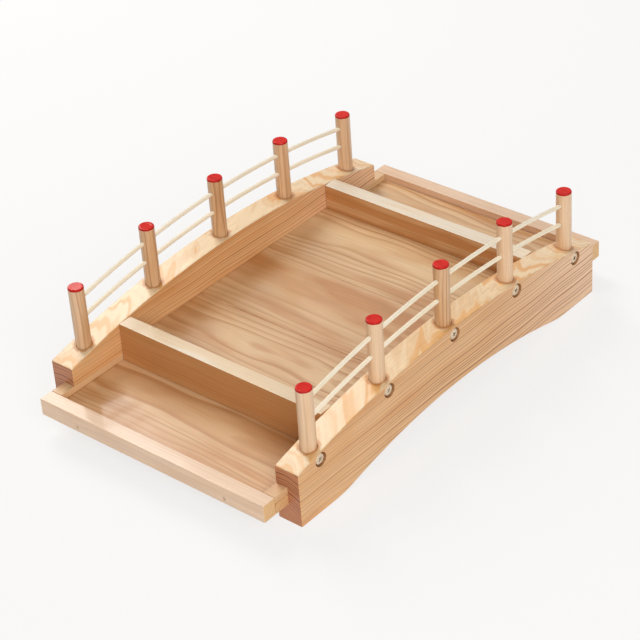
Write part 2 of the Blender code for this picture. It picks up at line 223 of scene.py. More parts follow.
def yearRings(tree, wood, radius, tone, lengthX):
    # years of uneven width and strength: summer wood on faces, summer wood on sawn ends, and their runs
    spread = addNode(tree, "ShaderNodeTexNoise", {
        "W": radius, "Scale": 1 / (pine["runYears"] * wood["ringWidth"]), "Detail": 1.0},
        noise_dimensions="1D")
    wide = addNode(tree, "ShaderNodeMath", {
        0: spread.outputs[0], 1: pine["runShift"]}, operation="MULTIPLY")
    year = addNode(tree, "ShaderNodeMath", {
        0: radius, 1: 1 / wood["ringWidth"], 2: wide.outputs[0]}, operation="MULTIPLY_ADD")
    part = addNode(tree, "ShaderNodeMath", {0: year.outputs[0]}, operation="FRACT")
    count = addNode(tree, "ShaderNodeMath", {0: year.outputs[0]}, operation="FLOOR")
    strength = addNode(tree, "ShaderNodeTexWhiteNoise", {"W": count.outputs[0]}, noise_dimensions="1D")
    weight = addNode(tree, "ShaderNodeMapRange", {
        "Value": strength.outputs["Value"], **pine["yearStrength"]})
    ring = addNode(tree, "ShaderNodeValToRGB", {"Fac": part.outputs[0]}, pine["year"])
    distance = addNode(tree, "ShaderNodeMath", {
        0: radius, 1: pine["clarityReach"]}, operation="DIVIDE")
    clear = addNode(tree, "ShaderNodeValToRGB", {"Fac": distance.outputs[0]}, wood["clarity"])
    paleLines, rosyLines = wood["toneLines"]
    lines = addNode(tree, "ShaderNodeMapRange", {
        "Value": tone, "To Min": paleLines, "To Max": rosyLines})
    varied = addNode(tree, "ShaderNodeMath", {
        0: weight.outputs[0], 1: clear.outputs["Color"]}, operation="MULTIPLY")
    seen = addNode(tree, "ShaderNodeMath", {
        0: varied.outputs[0], 1: lines.outputs[0]}, operation="MULTIPLY")
    if "fade" in wood:
        faintTo, clearFrom, faint = wood["fade"]
        grown = addNode(tree, "ShaderNodeMapRange", {
            "Value": lengthX, "From Min": faintTo, "From Max": clearFrom, "To Min": faint})
        seen = addNode(tree, "ShaderNodeMath", {
            0: seen.outputs[0], 1: grown.outputs[0]}, operation="MULTIPLY")
    late = addNode(tree, "ShaderNodeMath", {
        0: ring.outputs["Color"], 1: seen.outputs[0]}, operation="MULTIPLY")
    endLate = addNode(tree, "ShaderNodeMath", {
        0: ring.outputs["Color"], 1: varied.outputs[0]}, operation="MULTIPLY")
    return late.outputs[0], endLate.outputs[0], spread.outputs[0]


def groundColour(tree, wood, place, tone, spread, lengthX):
    # spring wood, rosier in patches and in runs of years
    patch = addNode(tree, "ShaderNodeVectorMath", {0: place, 1: pine["cloud"]}, operation="DIVIDE")
    cloud = addNode(tree, "ShaderNodeTexNoise", {
        "Vector": patch.outputs[0], "Scale": 1.0, "Detail": 2.0})
    warm = addNode(tree, "ShaderNodeMapRange", {"Value": cloud.outputs[0], **pine["rosyCloud"]})
    band = addNode(tree, "ShaderNodeMapRange", {
        "Value": spread, **pine["rosyRun"], "To Max": wood["bands"]})
    warmer = addNode(tree, "ShaderNodeMath", {0: warm.outputs[0], 1: band.outputs[0]}, operation="ADD")
    rosy = addNode(tree, "ShaderNodeMath", {0: warmer.outputs[0], 1: tone}, operation="ADD", use_clamp=True)
    ground = addNode(tree, "ShaderNodeMix", {
        0: rosy.outputs[0], 6: hexColour(wood["early"]), 7: hexColour(wood["blush"])}, data_type="RGBA")
    # painted sheen: paler towards the rear end
    if "paler" in wood:
        warmTo, paleFrom, pale = wood["paler"]
        grade = addNode(tree, "ShaderNodeMapRange", {
            "Value": lengthX, "From Min": warmTo, "From Max": paleFrom})
        ground = addNode(tree, "ShaderNodeMix", {
            0: grade.outputs[0], 6: ground.outputs[2], 7: hexColour(pale)}, data_type="RGBA")
    return ground.outputs[2]


def tongueColour(tree, flame, radius, late):
    # broad golden summer wood of a flat sawn top, on a pale ground that is partly painted sheen
    years = addNode(tree, "ShaderNodeTexNoise", {
        "W": radius, "Scale": 1 / flame["years"], "Detail": 1.0}, noise_dimensions="1D")
    broad = addNode(tree, "ShaderNodeMapRange", {
        "Value": years.outputs[0], **flame["broad"]}, interpolation_type="SMOOTHSTEP")
    summer = addNode(tree, "ShaderNodeMath", {
        0: late, 1: flame["rings"], 2: broad.outputs[0]}, operation="MULTIPLY_ADD", use_clamp=True)
    tongue = addNode(tree, "ShaderNodeMix", {
        0: summer.outputs[0], 6: hexColour(flame["springAndSheen"]), 7: hexColour(flame["summer"])},
        data_type="RGBA")
    return tongue.outputs[2]


def glueAndPostReflection(tree, glue, spot, axes, onTop):
    # glue squeezed out round the posts, browned under the lacquer, with a painted reflection of the posts
    # round their feet
    halfPitch = postPitch / 2 / mm
    wall = postRadius / mm
    nextPost = addNode(tree, "ShaderNodeMath", {
        0: axes["X"], 1: halfPitch, 2: -halfPitch}, operation="WRAP")
    fromMid = addNode(tree, "ShaderNodeMath", {0: axes["Y"]}, operation="ABSOLUTE")
    offAxis = addNode(tree, "ShaderNodeMath", {
        0: fromMid.outputs[0], 1: beamMiddle / mm}, operation="SUBTRACT")
    fromPost = addNode(tree, "ShaderNodeCombineXYZ", {
        "X": nextPost.outputs[0], "Y": offAxis.outputs[0]})
    away = addNode(tree, "ShaderNodeVectorMath", {0: fromPost.outputs[0]}, operation="LENGTH")
    runs = addNode(tree, "ShaderNodeTexNoise", {
        "Vector": spot, "Scale": 1 / glue["blot"], "Detail": 2.0})
    spill = addNode(tree, "ShaderNodeMath", {
        0: runs.outputs[0], 1: -glue["reach"], 2: away.outputs["Value"]}, operation="MULTIPLY_ADD")
    stainAndReflection = addNode(tree, "ShaderNodeMapRange", {
        "Value": spill.outputs[0], "From Min": wall + glue["full"], "From Max": wall + glue["gone"],
        "To Min": glue["shown"], "To Max": 0.0}, interpolation_type="SMOOTHSTEP")
    glueAndReflectionMask = addNode(tree, "ShaderNodeMath", {0: stainAndReflection.outputs[0], 1: onTop}, operation="MULTIPLY")
    return glueAndReflectionMask.outputs[0]


def sawnEnds(tree, wood, spot, normal):
    # 1 on faces across the grain, past where the ends begin
    grainAxis = grainAxes[wood["grain"]]
    facing = addNode(tree, "ShaderNodeVectorMath", {0: normal, 1: grainAxis}, operation="DOT_PRODUCT")
    endOn = addNode(tree, "ShaderNodeMath", {0: facing.outputs["Value"]}, operation="ABSOLUTE")
    lengthwise = addNode(tree, "ShaderNodeVectorMath", {0: spot, 1: grainAxis}, operation="DOT_PRODUCT")
    fromMiddle = addNode(tree, "ShaderNodeMath", {0: lengthwise.outputs["Value"]}, operation="ABSOLUTE")
    atEnd = addNode(tree, "ShaderNodeMath", {
        0: fromMiddle.outputs[0], 1: wood["endFrom"]}, operation="GREATER_THAN")
    endMask = addNode(tree, "ShaderNodeMapRange", {
        "Value": endOn.outputs[0], **pine["endFacing"], "To Max": atEnd.outputs[0]},
        interpolation_type="SMOOTHSTEP")
    return endMask.outputs[0]


def lacqueredPine(name, wood):
    # planed softwood under thin clear lacquer: year rings run through the piece, the ends are dark and
    # thirsty, and the flats have a satin sheen
    material, tree = newMaterial(name)
    heart = addNode(tree, "ShaderNodeAttribute", attribute_name="heart").outputs["Vector"]
    tone = addNode(tree, "ShaderNodeAttribute", attribute_name="tone").outputs["Fac"]
    coord = addNode(tree, "ShaderNodeTexCoord")
    normal = coord.outputs["Normal"]
    spot = addNode(tree, "ShaderNodeVectorMath", {      # in mm from here on
        0: coord.outputs["Object"], "Scale": 1 / mm}, operation="SCALE").outputs[0]
    axes = addNode(tree, "ShaderNodeSeparateXYZ", {0: spot}).outputs
    place = addNode(tree, "ShaderNodeMapping", {
        "Vector": spot, "Rotation": grainTurns[wood["grain"]], "Location": heart}).outputs[0]
    facingUp = addNode(tree, "ShaderNodeSeparateXYZ", {0: normal}).outputs["Z"]
    onTop = addNode(tree, "ShaderNodeMapRange", {"Value": facingUp, **pine["topFacing"]}).outputs[0]
    radius, bent = heartDistance(tree, wood, place, onTop)
    late, endLate, spread = yearRings(tree, wood, radius, tone, axes["X"])
    fine = addNode(tree, "ShaderNodeVectorMath", {0: bent, 1: pine["fibre"]}, operation="DIVIDE")
    fibre = addNode(tree, "ShaderNodeTexNoise", {
        "Vector": fine.outputs[0], "Scale": 1.0, "Detail": 3.0}).outputs[0]
    endMask = sawnEnds(tree, wood, spot, normal)
    thirsty = [endMask]         # where the coat sinks in

    ground = groundColour(tree, wood, place, tone, spread, axes["X"])
    colour = addNode(tree, "ShaderNodeMix", {
        0: late, 6: ground, 7: hexColour(wood["late"])}, data_type="RGBA").outputs[2]
    # tops only: grain tongues on a cream that is partly painted sheen
    if "flames" in wood:
        tongue = tongueColour(tree, wood["flames"], radius, late)
        shown = addNode(tree, "ShaderNodeMath", {0: onTop, 1: wood["flames"]["shown"]}, operation="MULTIPLY")
        colour = addNode(tree, "ShaderNodeMix", {
            0: shown.outputs[0], 6: colour, 7: tongue}, data_type="RGBA").outputs[2]
    shade = addNode(tree, "ShaderNodeMapRange", {
        "Value": fibre, **pine["fibreLevels"],
        "To Min": 1 - wood["fibre"], "To Max": 1 + pine["fibreLift"] * wood["fibre"]})
    colour = addNode(tree, "ShaderNodeVectorMath", {
        0: colour, "Scale": shade.outputs[0]}, operation="SCALE").outputs[0]
    # glue stain and painted reflection round the posts' feet
    if "glue" in wood:
        glueAndReflectionMask = glueAndPostReflection(tree, wood["glue"], spot, axes, onTop)
        thirsty.append(glueAndReflectionMask)
        colour = addNode(tree, "ShaderNodeMix", {
            0: glueAndReflectionMask, 6: colour, 7: hexColour(wood["glue"]["colour"])}, data_type="RGBA").outputs[2]
    endGrain = addNode(tree, "ShaderNodeMix", {
        0: endLate, 6: hexColour(wood["endEarly"]), 7: hexColour(wood["endLate"])}, data_type="RGBA")
    surface = addNode(tree, "ShaderNodeMix", {
        0: endMask, 6: colour, 7: endGrain.outputs[2]}, data_type="RGBA")

    relief = addNode(tree, "ShaderNodeMath", {
        0: late, 1: pine["relief"], 2: fibre}, operation="MULTIPLY_ADD")
    bump = addNode(tree, "ShaderNodeBump", {
        "Height": relief.outputs[0], "Strength": 0.25, "Distance": 0.15 * mm})
    gloss = addNode(tree, "ShaderNodeMapRange", {"Value": late, **pine["roughness"]})
    thirst = addNode(tree, "ShaderNodeMath", {0: late, 1: pine["thirst"]}, operation="MULTIPLY")
    for mask in thirsty:
        thirst = addNode(tree, "ShaderNodeMath", {0: thirst.outputs[0], 1: mask}, operation="MAXIMUM")
    uprightCoat, topCoat = wood["lacquer"]
    coatHere = addNode(tree, "ShaderNodeMapRange", {
        "Value": onTop, "To Min": uprightCoat, "To Max": topCoat})
    lacquer = addNode(tree, "ShaderNodeMapRange", {
        "Value": thirst.outputs[0], "To Min": coatHere.outputs[0], "To Max": pine["thirstyCoat"]})
    shader = addNode(tree, "ShaderNodeBsdfPrincipled", {
        "Base Color": surface.outputs[2], "Roughness": gloss.outputs[0], "Normal": bump.outputs[0],
        "IOR": 1.5, "Specular IOR Level": 0.45,
        "Coat Weight": lacquer.outputs[0], "Coat Roughness": 0.13, "Coat IOR": 1.5})
    addNode(tree, "ShaderNodeOutputMaterial", {"Surface": shader.outputs[0]})
    return material


enamel = {
    "thin": "D01A12",
    "thick": "EE2A1A",
    # rim: thinner paint and painted shade on the sideways facing edge
    "rim": "A41210",
    "ridge": (1.7, 14, 1.7),        # mm, brushed across the bridge
    "ridgeLevels": {"From Min": 0.3, "From Max": 0.7},
    "rimFacing": {"From Min": 0.9, "From Max": 0.5, "To Max": 0.7},     # upward part of the normal
}


def redEnamel(name):
    # brushed enamel: thick and glossy, with bristle ridges and a darker rim on the rounded edge: paint
    # thinning over it, and painted shade where the edge turns sideways
    material, tree = newMaterial(name)
    coord = addNode(tree, "ShaderNodeTexCoord")
    stroke = addNode(tree, "ShaderNodeVectorMath", {
        0: coord.outputs["Object"], 1: [size * mm for size in enamel["ridge"]]}, operation="DIVIDE")
    ridges = addNode(tree, "ShaderNodeTexNoise", {
        "Vector": stroke.outputs[0], "Scale": 1.0, "Detail": 2.0})
    depth = addNode(tree, "ShaderNodeMapRange", {"Value": ridges.outputs[0], **enamel["ridgeLevels"]})
    coat = addNode(tree, "ShaderNodeMix", {
        0: depth.outputs[0], 6: hexColour(enamel["thin"]), 7: hexColour(enamel["thick"])},
        data_type="RGBA")
    facingUp = addNode(tree, "ShaderNodeSeparateXYZ", {0: coord.outputs["Normal"]})
    # painted shade: darker where the edge turns away from the top
    rim = addNode(tree, "ShaderNodeMapRange", {"Value": facingUp.outputs["Z"], **enamel["rimFacing"]})
    colour = addNode(tree, "ShaderNodeMix", {
        0: rim.outputs[0], 6: coat.outputs[2], 7: hexColour(enamel["rim"])}, data_type="RGBA")
    bump = addNode(tree, "ShaderNodeBump", {
        "Height": ridges.outputs[0], "Strength": 0.5, "Distance": 0.35 * mm})
    shader = addNode(tree, "ShaderNodeBsdfPrincipled", {
        "Base Color": colour.outputs[2], "Roughness": 0.3, "Normal": bump.outputs[0],
        "Specular IOR Level": 0.0, "Coat Weight": 0.36, "Coat Roughness": 0.06})
    addNode(tree, "ShaderNodeOutputMaterial", {"Surface": shader.outputs[0]})
    return material


bamboo = {
    "dark": "F1E2C4",
    "light": "FDF4E2",
    "ripe": "ECDDB8",
    "fibre": (30, 0.55, 0.55),      # mm, drawn a little coarser than real so that they show
    "fibreLevels": {"From Min": 0.3, "From Max": 0.7},
    "patch": (50, 6, 6),            # mm
    "ripeLevels": {"From Min": 0.5, "From Max": 0.8, "To Max": 0.5},
}


def paleBamboo(name):
    # split and rounded bamboo: pale straw, straight fibres along the rod, low sheen
    material, tree = newMaterial(name)
    strand = addNode(tree, "ShaderNodeAttribute", attribute_name="strand")
    stretched = addNode(tree, "ShaderNodeVectorMath", {
        0: strand.outputs["Vector"], 1: bamboo["fibre"]}, operation="DIVIDE")
    fibre = addNode(tree, "ShaderNodeTexNoise", {
        "Vector": stretched.outputs[0], "Scale": 1.0, "Detail": 3.0})
    slow = addNode(tree, "ShaderNodeVectorMath", {
        0: strand.outputs["Vector"], 1: bamboo["patch"]}, operation="DIVIDE")
    patch = addNode(tree, "ShaderNodeTexNoise", {
        "Vector": slow.outputs[0], "Scale": 1.0, "Detail": 1.0})
    tone = addNode(tree, "ShaderNodeMapRange", {"Value": fibre.outputs[0], **bamboo["fibreLevels"]})
    straw = addNode(tree, "ShaderNodeMix", {
        0: tone.outputs[0], 6: hexColour(bamboo["dark"]), 7: hexColour(bamboo["light"])},
        data_type="RGBA")
    ripe = addNode(tree, "ShaderNodeMapRange", {"Value": patch.outputs[0], **bamboo["ripeLevels"]})
    colour = addNode(tree, "ShaderNodeMix", {
        0: ripe.outputs[0], 6: straw.outputs[2], 7: hexColour(bamboo["ripe"])}, data_type="RGBA")
    bump = addNode(tree, "ShaderNodeBump", {
        "Height": fibre.outputs[0], "Strength": 0.3, "Distance": 0.1 * mm})
    shader = addNode(tree, "ShaderNodeBsdfPrincipled", {
        "Base Color": colour.outputs[2], "Roughness": 0.48, "Normal": bump.outputs[0], "IOR": 1.5})
    addNode(tree, "ShaderNodeOutputMaterial", {"Surface": shader.outputs[0]})
    return material


steel = {
    "blotch": 1.2 * mm,
    "wornLevels": {"From Min": 0.35, "From Max": 0.7},
    "smoother": 0.08,               # how far the blotches go either side of the roughness
    "rougher": 0.12,
}


def platedSteel(name, light, dark, roughness):
    # plated steel, dulled and lightly scratched by the driver
    material, tree = newMaterial(name)
    coord = addNode(tree, "ShaderNodeTexCoord")
    cloud = addNode(tree, "ShaderNodeTexNoise", {
        "Vector": coord.outputs["Object"], "Scale": 1 / steel["blotch"], "Detail": 3.0})
    worn = addNode(tree, "ShaderNodeMapRange", {"Value": cloud.outputs[0], **steel["wornLevels"]})
    colour = addNode(tree, "ShaderNodeMix", {
        0: worn.outputs[0], 6: hexColour(light), 7: hexColour(dark)}, data_type="RGBA")
    gloss = addNode(tree, "ShaderNodeMapRange", {
        "Value": cloud.outputs[0],
        "To Min": roughness - steel["smoother"], "To Max": roughness + steel["rougher"]})
    bump = addNode(tree, "ShaderNodeBump", {
        "Height": cloud.outputs[0], "Strength": 0.15, "Distance": 0.1 * mm})
    shader = addNode(tree, "ShaderNodeBsdfPrincipled", {
        "Base Color": colour.outputs[2], "Roughness": gloss.outputs[0], "Metallic": 1.0,
        "Normal": bump.outputs[0]})
    addNode(tree, "ShaderNodeOutputMaterial", {"Surface": shader.outputs[0]})
    return material


beamWood = lacqueredPine("lacqueredPineBeam", beamPine)
boardWood = lacqueredPine("lacqueredPineBoard", boardPine)
# sill tops: faint tongues on a near white cream, mostly painted highlight of the lacquer
sillWoodPaintedSheen = lacqueredPine("lacqueredPineSill", {
    **boardPine,
    "flames": {**beamPine["flames"], "springAndSheen": "FCF0DC", "summer": "F2D6AC", "ragged": 1.5,
               "slant": math.radians(6)}})
battenWood = lacqueredPine("lacqueredPineBatten", {
    **boardPine, "ringWidth": 4.2, "wander": 4.0, "clarity": ((0.0, 0.3), (1.0, 0.3)),
    "early": "F5D5B8", "late": "DBAF88", "blush": "EAC3A0", "endEarly": "E6BA84", "endLate": "C48E58",
    "bands": 0.3, "lacquer": (0.25, 0.4)})
stripWood = lacqueredPine("lacqueredPineStrip", {
    **boardPine, "grain": "X", "late": "CD9A68", "blush": "E2B585", "endFrom": 0})
dowelWood = lacqueredPine("lacqueredDowel", {
    **boardPine, "grain": "Z", "ringWidth": 2.6, "wander": 2.0, "toneLines": (0.05, 1.1), "endFrom": 0,
    "early": "F1CFAC", "late": "94582A", "blush": "DBAE80", "fibre": 0.16, "lacquer": (0.5, 0.5)})
# torn grain in the screw holes: no lacquer, and darker as painted shade in the holes
drilledWoodPaintedShade = lacqueredPine("bareDrilledPine", {
    **boardPine, "grain": "X", "early": "AE7C4E", "late": "7C522C", "blush": "9A683E",
    "endFrom": beamPine["endFrom"], "lacquer": (0.0, 0.0)})
redPaint = redEnamel("redEnamel")
bambooSkin = paleBamboo("paleBamboo")
screwZinc = platedSteel("zincPlatedSteel", "F0DEC6", "C4AD90", 0.55)
# darker steel in the cross recess: painted shade
recessSteelPaintedShade = platedSteel("dirtyRecessSteel", "AA9880", "7A6C5A", 0.6)
nailSteel = platedSteel("dulledNailSteel", "DCCBB4", "B29F88", 0.5)
print("materials made")


# Pieces

def addObject(name, data):
    item = bpy.data.objects.new(name, data)
    bpy.context.scene.collection.objects.link(item)
    return item


def hiddenModel(mesh):
    model = addObject(mesh.name + "Model", mesh)
    model.hide_render = True
    return model


def meshFrom(bm, name):
    mesh = bpy.data.meshes.new(name)
    bm.to_mesh(mesh)
    bm.free()
    return mesh


def plainMesh(piece):
    # the evaluated result becomes the piece's own mesh
    bpy.context.view_layer.update()
    depsgraph = bpy.context.evaluated_depsgraph_get()
    made = bpy.data.meshes.new_from_object(
        piece.evaluated_get(depsgraph), preserve_all_data_layers=True, depsgraph=depsgraph)
    piece.modifiers.clear()
    piece.data = made


def finishPiece(piece, slotName, *nodes):
    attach(piece, "root")
    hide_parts(*nodes)


def markPoints(mesh, name, values):
    # one number or vector for each point, read by a material
    single = isinstance(values[0], (int, float))
    attribute = mesh.attributes.new(name, "FLOAT" if single else "FLOAT_VECTOR", "POINT")
    for datum, value in zip(attribute.data, values):
        if single:
            datum.value = value
        else:
            datum.vector = value


def markPainted(mesh, test):
    # faces that take a copy's second material
    painted = mesh.attributes.new("painted", "BOOLEAN", "FACE")
    for face, datum in zip(mesh.polygons, painted.data):
        datum.value = test(face)


def cutWith(piece, *tools):
    for tool in tools:
        hole = piece.modifiers.new(tool.name, "BOOLEAN")
        hole.operation = "DIFFERENCE"
        hole.solver = "EXACT"
        hole.use_self = True
        hole.object = tool
    plainMesh(piece)
    for tool in tools:
        bpy.data.objects.remove(tool)


def turnedSolid(name, profile, sides, sharpAngle):
    # closed lathe shape about Z from (radius, height) points between two points on the axis
    bm = bmesh.new()
    verts = [bm.verts.new((r, 0, z)) for r, z in profile]
    edges = [bm.edges.new(pair) for pair in zip(verts, verts[1:])]
    bmesh.ops.spin(bm, geom=verts + edges, cent=(0, 0, 0), axis=(0, 0, 1), angle=math.tau, steps=sides,
                   use_merge=True)
    bmesh.ops.remove_doubles(bm, verts=bm.verts, dist=weldDistance / 4)
    bmesh.ops.recalc_face_normals(bm, faces=bm.faces)
    mesh = meshFrom(bm, name)
    mesh.shade_smooth()
    mesh.set_sharp_from_angle(angle=sharpAngle)
    return mesh


def newTree(name, sockets):
    tree = bpy.data.node_groups.new(name, "GeometryNodeTree")
    tree.interface.new_socket("Geometry", in_out="INPUT", socket_type="NodeSocketGeometry")
    tree.interface.new_socket("Geometry", in_out="OUTPUT", socket_type="NodeSocketGeometry")
    for label, kind in sockets.items():
        tree.interface.new_socket(label, in_out="INPUT", socket_type=kind)
    return tree, addNode(tree, "NodeGroupInput").outputs


def useTree(piece, tree, values):
    modifier = piece.modifiers.new(tree.name, "NODES")
    modifier.node_group = tree
    for item in tree.interface.items_tree:
        if item.in_out == "INPUT" and item.name in values:
            modifier[item.identifier] = values[item.name]


# Copies: one model set on every place of a piece, each spun about its axis by chance

def copiesTree():
    tree, given = newTree("copiesOnPlaces", {
        "Model": "NodeSocketObject", "Axis": "NodeSocketVector", "Spin": "NodeSocketFloat",
        "Seed": "NodeSocketInt", "Material": "NodeSocketMaterial", "Top Material": "NodeSocketMaterial"})
    info = addNode(tree, "GeometryNodeObjectInfo", {"Object": given["Model"]})
    aimed = addNode(tree, "FunctionNodeAlignRotationToVector", {"Vector": given["Axis"]}, axis="Z")
    turn = addNode(tree, "FunctionNodeRandomValue", {
        2: 0.0, 3: given["Spin"], "Seed": given["Seed"]}, data_type="FLOAT")
    spin = addNode(tree, "FunctionNodeAxisAngleToRotation", {
        "Axis": (0, 0, 1), "Angle": turn.outputs[1]})
    turned = addNode(tree, "FunctionNodeRotateRotation", {
        0: aimed.outputs[0], 1: spin.outputs[0]}, rotation_space="LOCAL")
    copies = addNode(tree, "GeometryNodeInstanceOnPoints", {
        "Points": given["Geometry"], "Instance": info.outputs["Geometry"],
        "Rotation": turned.outputs[0]})
    real = addNode(tree, "GeometryNodeRealizeInstances", {"Geometry": copies.outputs[0]})
    dressed = addNode(tree, "GeometryNodeSetMaterial", {
        "Geometry": real.outputs[0], "Material": given["Material"]})
    painted = addNode(tree, "GeometryNodeInputNamedAttribute", {"Name": "painted"}, data_type="BOOLEAN")
    topped = addNode(tree, "GeometryNodeSetMaterial", {
        "Geometry": dressed.outputs[0], "Selection": painted.outputs[0],
        "Material": given["Top Material"]})
    addNode(tree, "NodeGroupOutput", {0: topped.outputs[0]})
    return tree


copyTree = copiesTree()


def setCopies(name, model, places, axis, settings):
    mesh = bpy.data.meshes.new(name)
    mesh.from_pydata(places, [], [])
    piece = addObject(name, mesh)
    useTree(piece, copyTree, {"Model": model, "Axis": axis, "Spin": math.tau, **settings})
    return piece


# Boards: the solids' own shapes, welded. For each its wood, slot, way to the tree's heart and rosy tone.
# Heart: mm from the frame's origin, turned to the grain.

boards = {
    "near_beam": (beamWood, "beam_pine", (0, 107.5, 3), 0.0),
    "far_beam": (beamWood, "beam_pine", (420, -115, 7), 0.05),
    # the front sill's high rosy tone is partly painted shade on its front face
    "front_sill": (sillWoodPaintedSheen, "board_pine", (900, -130, 45), 0.9),
    "rear_sill": (sillWoodPaintedSheen, "board_pine", (1300, 118, 52), 0.5),
    "front_tray_floor": (boardWood, "board_pine", (0, -150, 14), 0.25),
    "rear_tray_floor": (boardWood, "board_pine", (600, 172, 20), 0.15),
    "front_lip": (battenWood, "batten_pine", (0, 10, 90), 0.0),
    "rear_lip": (battenWood, "batten_pine", (500, 40, 80), 0.1),
    "front_rim_strip_near": (stripWood, "batten_pine", (0, 60, 150), 0.0),
    "front_rim_strip_far": (stripWood, "batten_pine", (300, 40, 130), 0.1),
    "rear_rim_strip_near": (stripWood, "batten_pine", (700, 80, 140), 0.2),
    "rear_rim_strip_far": (stripWood, "batten_pine", (1000, 20, 160), 0.0),
    "deck_board_1": (boardWood, "board_pine", (2000, -70, 10), 0.1),
    "deck_board_2": (boardWood, "board_pine", (2400, 14, 26), 0.3),
    "deck_board_3": (boardWood, "board_pine", (2800, 88, 6), 0.0),
}

boardEdges = {"flatAngle": math.radians(1.5), "smoothAngle": math.radians(50)}

screwHoles = {
    "boreRadius": 5.25 * mm,        # a hair wider and deeper than the solid's, to cut it round
    "boreDepth": 2.95 * mm,
    "mouthRadius": 5.9 * mm,        # the holes open a little towards the face
    "mouthDepth": 1.1 * mm,
    "sides": 40,
}


def flatNormals(mesh):
    # a face counts by the whole flat it lies in, so flats stay flat and the eased edges carry the light
    bm = bmesh.new()
    bm.from_mesh(mesh)
    weights = {}
    for first in bm.faces:
        if first.index in weights:
            continue
        flat, rest = {first}, [first]
        while rest:
            for edge in rest.pop().edges:
                if edge.is_manifold and edge.calc_face_angle() < boardEdges["flatAngle"]:
                    fresh = [face for face in edge.link_faces if face not in flat]
                    flat.update(fresh)
                    rest += fresh
        area = sum(face.calc_area() for face in flat)
        weights.update((face.index, area) for face in flat)
    normals = []
    for face in bm.faces:
        for corner in face.loops:
            near = [other for other in corner.vert.link_loops
                    if other.face.normal.angle(face.normal, math.pi) < boardEdges["smoothAngle"]]
            total = Vector()
            for other in near:
                total += other.face.normal * weights[other.face.index] * other.calc_angle()
            normals.append(total.normalized())
    bm.free()
    mesh.shade_smooth()
    mesh.normals_split_custom_set(normals)


def screwPlaces(side, face):
    middles = (boxMiddle(f"{side}_post_screw_{number}") for number in postNumbers)
    return [(x, face, z) for x, y, z in middles]


def openHoles(piece, node, side):
    # cones open the screw holes of a beam, and the drilled faces get their bare wood, darkened as painted
    # shade
    bore, floor = screwHoles["boreRadius"], screwHoles["boreDepth"]
    mouth, depth = screwHoles["mouthRadius"], screwHoles["mouthDepth"]
    wider = (mouth - bore) / depth * cutOver
    profile = [(0, cutOver), (mouth + wider, cutOver), (bore, -depth), (bore, -floor), (0, -floor)]
    model = hiddenModel(turnedSolid("mouth", profile, screwHoles["sides"], boardEdges["smoothAngle"]))
    face = outerFace(node, side, 1)
    places = screwPlaces(side, face)
    tool = setCopies(f"{side}Mouths", model, places, (0.0, outward[side], 0.0), {
        "Seed": 0, "Material": beamWood})
    plainMesh(tool)
    bpy.data.objects.remove(model)
    cutWith(piece, tool)
    piece.data.materials.append(drilledWoodPaintedShade)
    for polygon in piece.data.polygons:
        x, y, z = polygon.center
        sunk = (face - y) * outward[side]
        inHole = any(math.dist((x, z), place[::2]) < mouth for place in places)
        if inHole and weldDistance / 2 < sunk < floor + weldDistance:
            polygon.material_index = 1


def dressBoard(node, wood, slotName, heart, tone):
    bm = bmesh.new()
    bm.from_mesh(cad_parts[node].data)
    bmesh.ops.remove_doubles(bm, verts=bm.verts, dist=weldDistance)
    mesh = meshFrom(bm, node)
    mesh.materials.clear()
    mesh.materials.append(wood)
    first, *others = node.split("_")
    piece = addObject(first + "".join(word.capitalize() for word in others), mesh)
    if others == ["beam"]:
        openHoles(piece, node, first)
    markPoints(piece.data, "heart", [heart] * len(piece.data.vertices))
    markPoints(piece.data, "tone", [tone] * len(piece.data.vertices))
    flatNormals(piece.data)
    finishPiece(piece, slotName, node)


for node, plan in boards.items():
    dressBoard(node, *plan)
print("boards dressed")


# Rods: a line bent to the arch, swept with a circle that is never quite even

rods = {
    "points": 160,
    "sides": 14,
    "uneven": 0.05,
    "unevenLength": 22 * mm,
    "endGap": 0.3 * mm,             # keeps the tilted ends inside the solid's length
    "seeds": {("near", "upper"): 3.0, ("near", "lower"): 17.0,
              ("far", "upper"): 31.0, ("far", "lower"): 47.0},
}


